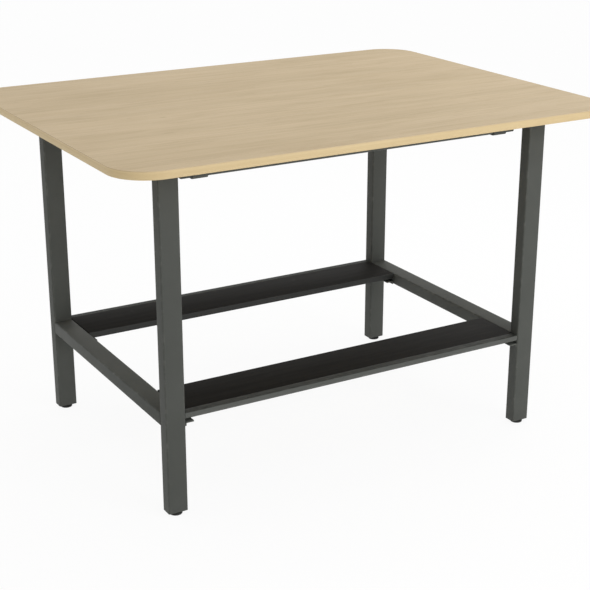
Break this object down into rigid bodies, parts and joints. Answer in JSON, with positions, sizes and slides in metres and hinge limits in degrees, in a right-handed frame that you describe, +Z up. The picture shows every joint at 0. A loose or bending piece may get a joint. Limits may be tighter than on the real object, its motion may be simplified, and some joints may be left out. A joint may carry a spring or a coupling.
{
  "type": "standing meeting table",
  "caption": "High meeting table with an oak top with wide rounded corners, a dark rectangular tube frame, black footrests along the long sides and levelling feet under the legs.",
  "frame": {"origin": "on the floor, under the middle of the table top", "axes": "+X along the long side, to the right in the picture; +Y from the front to the back; +Z up"},
  "size_m": [1.6, 1.2, 1.05],
  "materials": {
    "board_core": "bare chipboard, hidden",
    "oak_veneer": "matt lacquered oak veneer, grain along the length",
    "oak_edge": "matt lacquered oak edge band",
    "powder_coat": "matt dark grey powder coat",
    "black_laminate": "black laminate with a fine wood grain",
    "dark_plastic": "moulded dark plastic",
    "zinc_steel": "bright zinc plated steel"
  },
  "bodies": {
    "frame": {"tabletop_core": "board_core", "tabletop_face_veneer": "oak_veneer", "tabletop_back_veneer": "oak_veneer", "tabletop_edge_band": "oak_edge", "leg_front_left": "powder_coat", "leg_plate_front_left": "powder_coat", "foot_insert_front_left": "dark_plastic", "beam_spigot_front_left": "powder_coat", "beam_strap_front_left": "powder_coat", "leg_front_right": "powder_coat", "leg_plate_front_right": "powder_coat", "foot_insert_front_right": "dark_plastic", "beam_spigot_front_right": "powder_coat", "beam_strap_front_right": "powder_coat", "leg_rear_left": "powder_coat", "leg_plate_rear_left": "powder_coat", "foot_insert_rear_left": "dark_plastic", "beam_spigot_rear_left": "powder_coat", "beam_strap_rear_left": "powder_coat", "leg_rear_right": "powder_coat", "leg_plate_rear_right": "powder_coat", "foot_insert_rear_right": "dark_plastic", "beam_spigot_rear_right": "powder_coat", "beam_strap_rear_right": "powder_coat", "side_rail_left": "powder_coat", "cross_rail_left": "powder_coat", "side_rail_right": "powder_coat", "cross_rail_right": "powder_coat", "beam_front": "powder_coat", "footrest_board_front": "black_laminate", "footrest_nosing_front": "powder_coat", "footrest_stiffener_front": "powder_coat", "footrest_angle_front_left": "powder_coat", "footrest_bolt_front_left_1": "zinc_steel", "footrest_bolt_front_left_2": "zinc_steel", "footrest_angle_front_right": "powder_coat", "footrest_bolt_front_right_1": "zinc_steel", "footrest_bolt_front_right_2": "zinc_steel", "beam_rear": "powder_coat", "footrest_board_rear": "black_laminate", "footrest_nosing_rear": "powder_coat", "footrest_stiffener_rear": "powder_coat", "footrest_angle_rear_left": "powder_coat", "footrest_bolt_rear_left_1": "zinc_steel", "footrest_bolt_rear_left_2": "zinc_steel", "footrest_angle_rear_right": "powder_coat", "footrest_bolt_rear_right_1": "zinc_steel", "footrest_bolt_rear_right_2": "zinc_steel"},
    "pad_front_left": {"foot_pad_front_left": "dark_plastic"},
    "stem_front_left": {"foot_stem_front_left": "zinc_steel"},
    "pad_front_right": {"foot_pad_front_right": "dark_plastic"},
    "stem_front_right": {"foot_stem_front_right": "zinc_steel"},
    "pad_rear_left": {"foot_pad_rear_left": "dark_plastic"},
    "stem_rear_left": {"foot_stem_rear_left": "zinc_steel"},
    "pad_rear_right": {"foot_pad_rear_right": "dark_plastic"},
    "stem_rear_right": {"foot_stem_rear_right": "zinc_steel"}
  },
  "joints": [
    {"name": "foot_height_front_left", "type": "slide", "parent": "frame", "child": "pad_front_left", "axis": [0, 0, -1], "range_m": [0, 0.015]},
    {"name": "foot_turn_front_left", "type": "hinge", "parent": "pad_front_left", "child": "stem_front_left", "pos_m": [-0.612, -0.423, 0], "axis": [0, 0, -1], "range_deg": [0, 3600]},
    {"name": "foot_height_front_right", "type": "slide", "parent": "frame", "child": "pad_front_right", "axis": [0, 0, -1], "range_m": [0, 0.015]},
    {"name": "foot_turn_front_right", "type": "hinge", "parent": "pad_front_right", "child": "stem_front_right", "pos_m": [0.612, -0.423, 0], "axis": [0, 0, -1], "range_deg": [0, 3600]},
    {"name": "foot_height_rear_left", "type": "slide", "parent": "frame", "child": "pad_rear_left", "axis": [0, 0, -1], "range_m": [0, 0.015]},
    {"name": "foot_turn_rear_left", "type": "hinge", "parent": "pad_rear_left", "child": "stem_rear_left", "pos_m": [-0.612, 0.423, 0], "axis": [0, 0, -1], "range_deg": [0, 3600]},
    {"name": "foot_height_rear_right", "type": "slide", "parent": "frame", "child": "pad_rear_right", "axis": [0, 0, -1], "range_m": [0, 0.015]},
    {"name": "foot_turn_rear_right", "type": "hinge", "parent": "pad_rear_right", "child": "stem_rear_right", "pos_m": [0.612, 0.423, 0], "axis": [0, 0, -1], "range_deg": [0, 3600]}
  ],
  "couplings": [
    {"joint": "foot_turn_front_left", "follows": "foot_height_front_left", "rad_per_m": 4188.8},
    {"joint": "foot_turn_front_right", "follows": "foot_height_front_right", "rad_per_m": 4188.8},
    {"joint": "foot_turn_rear_left", "follows": "foot_height_rear_left", "rad_per_m": 4188.8},
    {"joint": "foot_turn_rear_right", "follows": "foot_height_rear_right", "rad_per_m": 4188.8}
  ]
}
